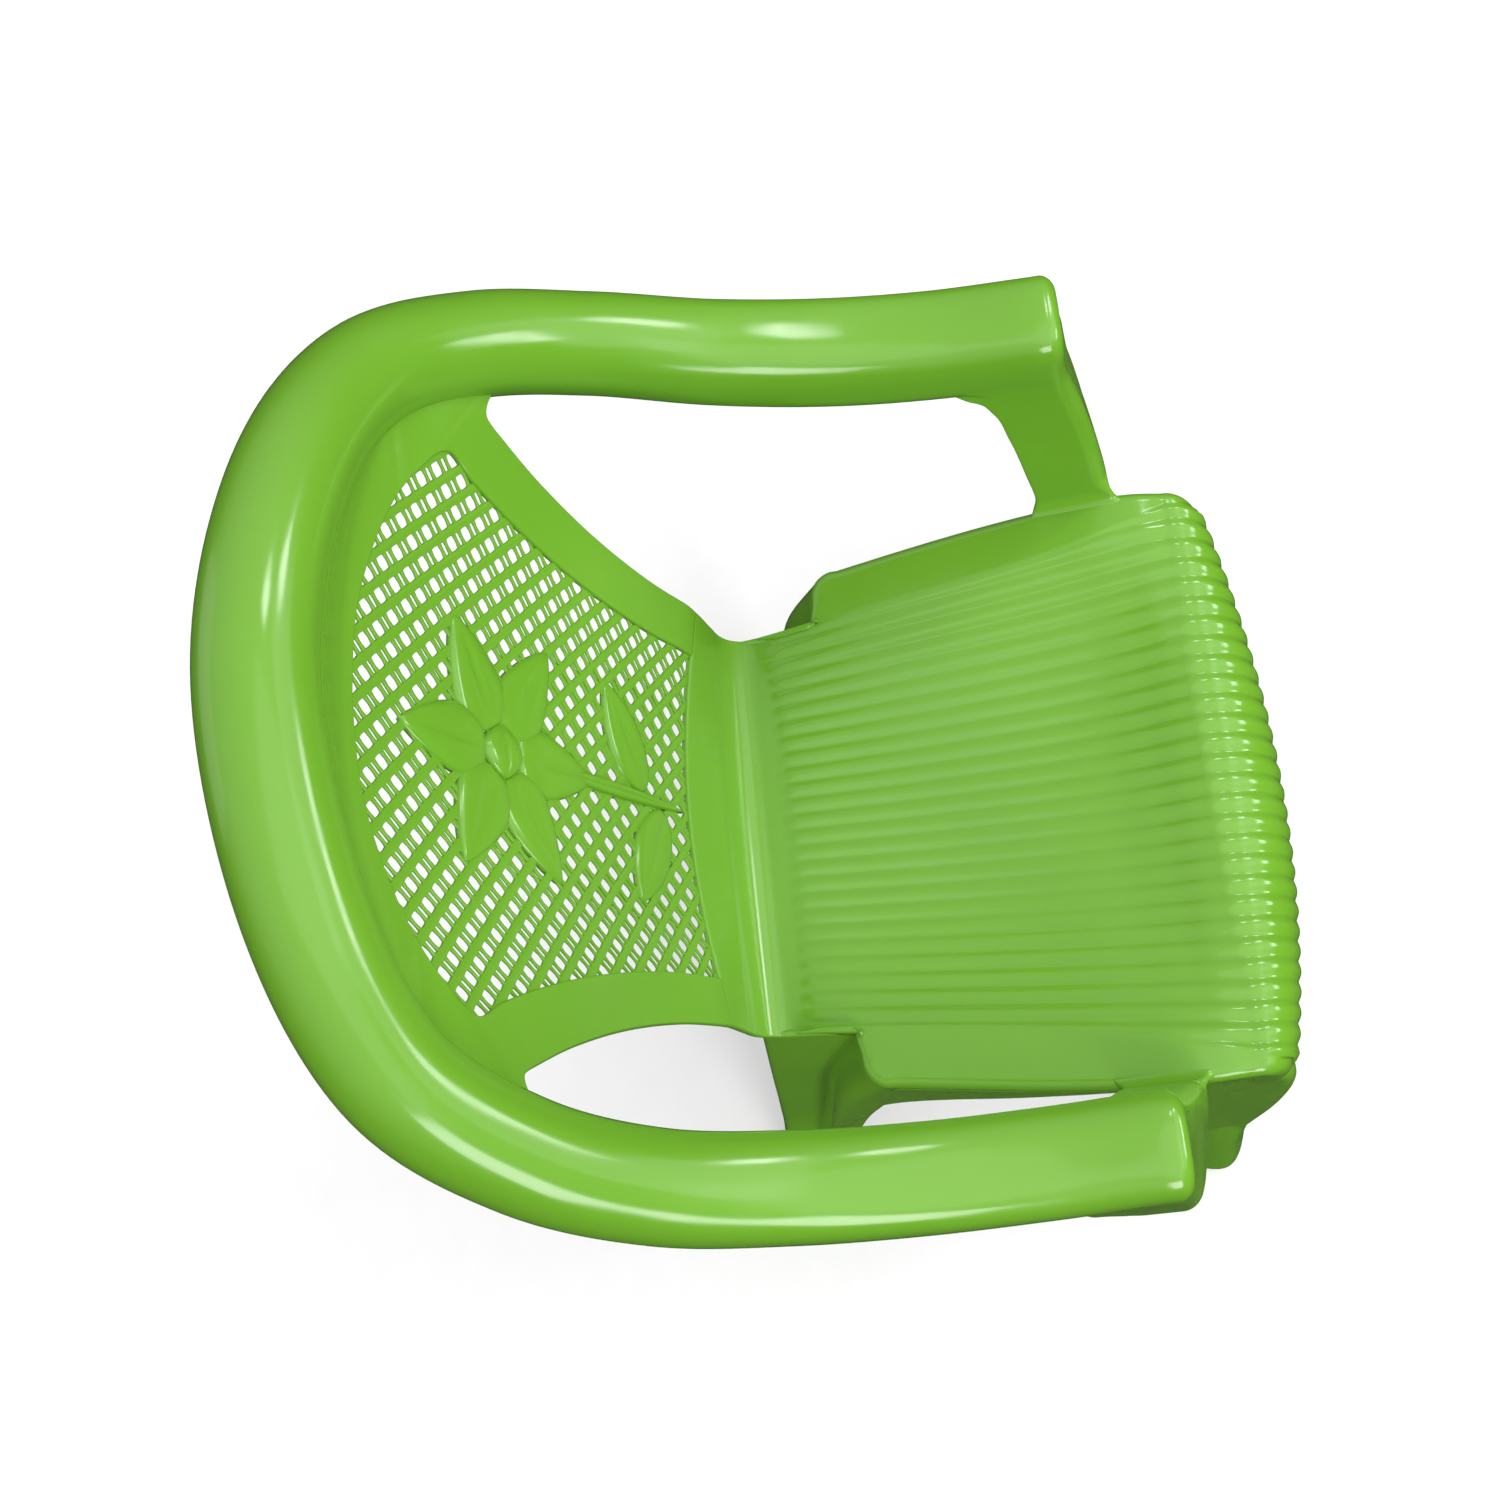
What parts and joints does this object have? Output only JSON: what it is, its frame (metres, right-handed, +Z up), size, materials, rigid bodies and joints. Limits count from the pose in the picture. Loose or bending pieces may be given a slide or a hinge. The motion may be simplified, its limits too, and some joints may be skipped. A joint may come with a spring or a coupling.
{
  "type": "child's monobloc armchair",
  "caption": "One-piece moulded plastic armchair for a small child, with a ribbed seat, a lattice back with a flower, and round arms.",
  "frame": {"origin": "on the floor, under the middle of the chair's bounding box", "axes": "+Z up; the sitter faces -Y, so the back of the chair is towards +Y; +X is on the sitter's left"},
  "size_m": [0.382, 0.373, 0.55],
  "materials": {
    "shell": "glossy lime-green polypropylene"
  },
  "bodies": {
    "root": {"top_rail": "shell", "arm_right": "shell", "arm_left": "shell", "post_right": "shell", "post_left": "shell", "back_frame": "shell", "back_lattice": "shell", "back_relief": "shell", "lumbar_band": "shell", "seat_pan": "shell", "seat_ribs": "shell", "seat_flange_right": "shell", "seat_flange_left": "shell", "front_roll": "shell", "skirt_right": "shell", "skirt_left": "shell", "front_leg_right": "shell", "front_leg_left": "shell", "rear_leg_right": "shell", "rear_leg_left": "shell"}
  },
  "joints": []
}
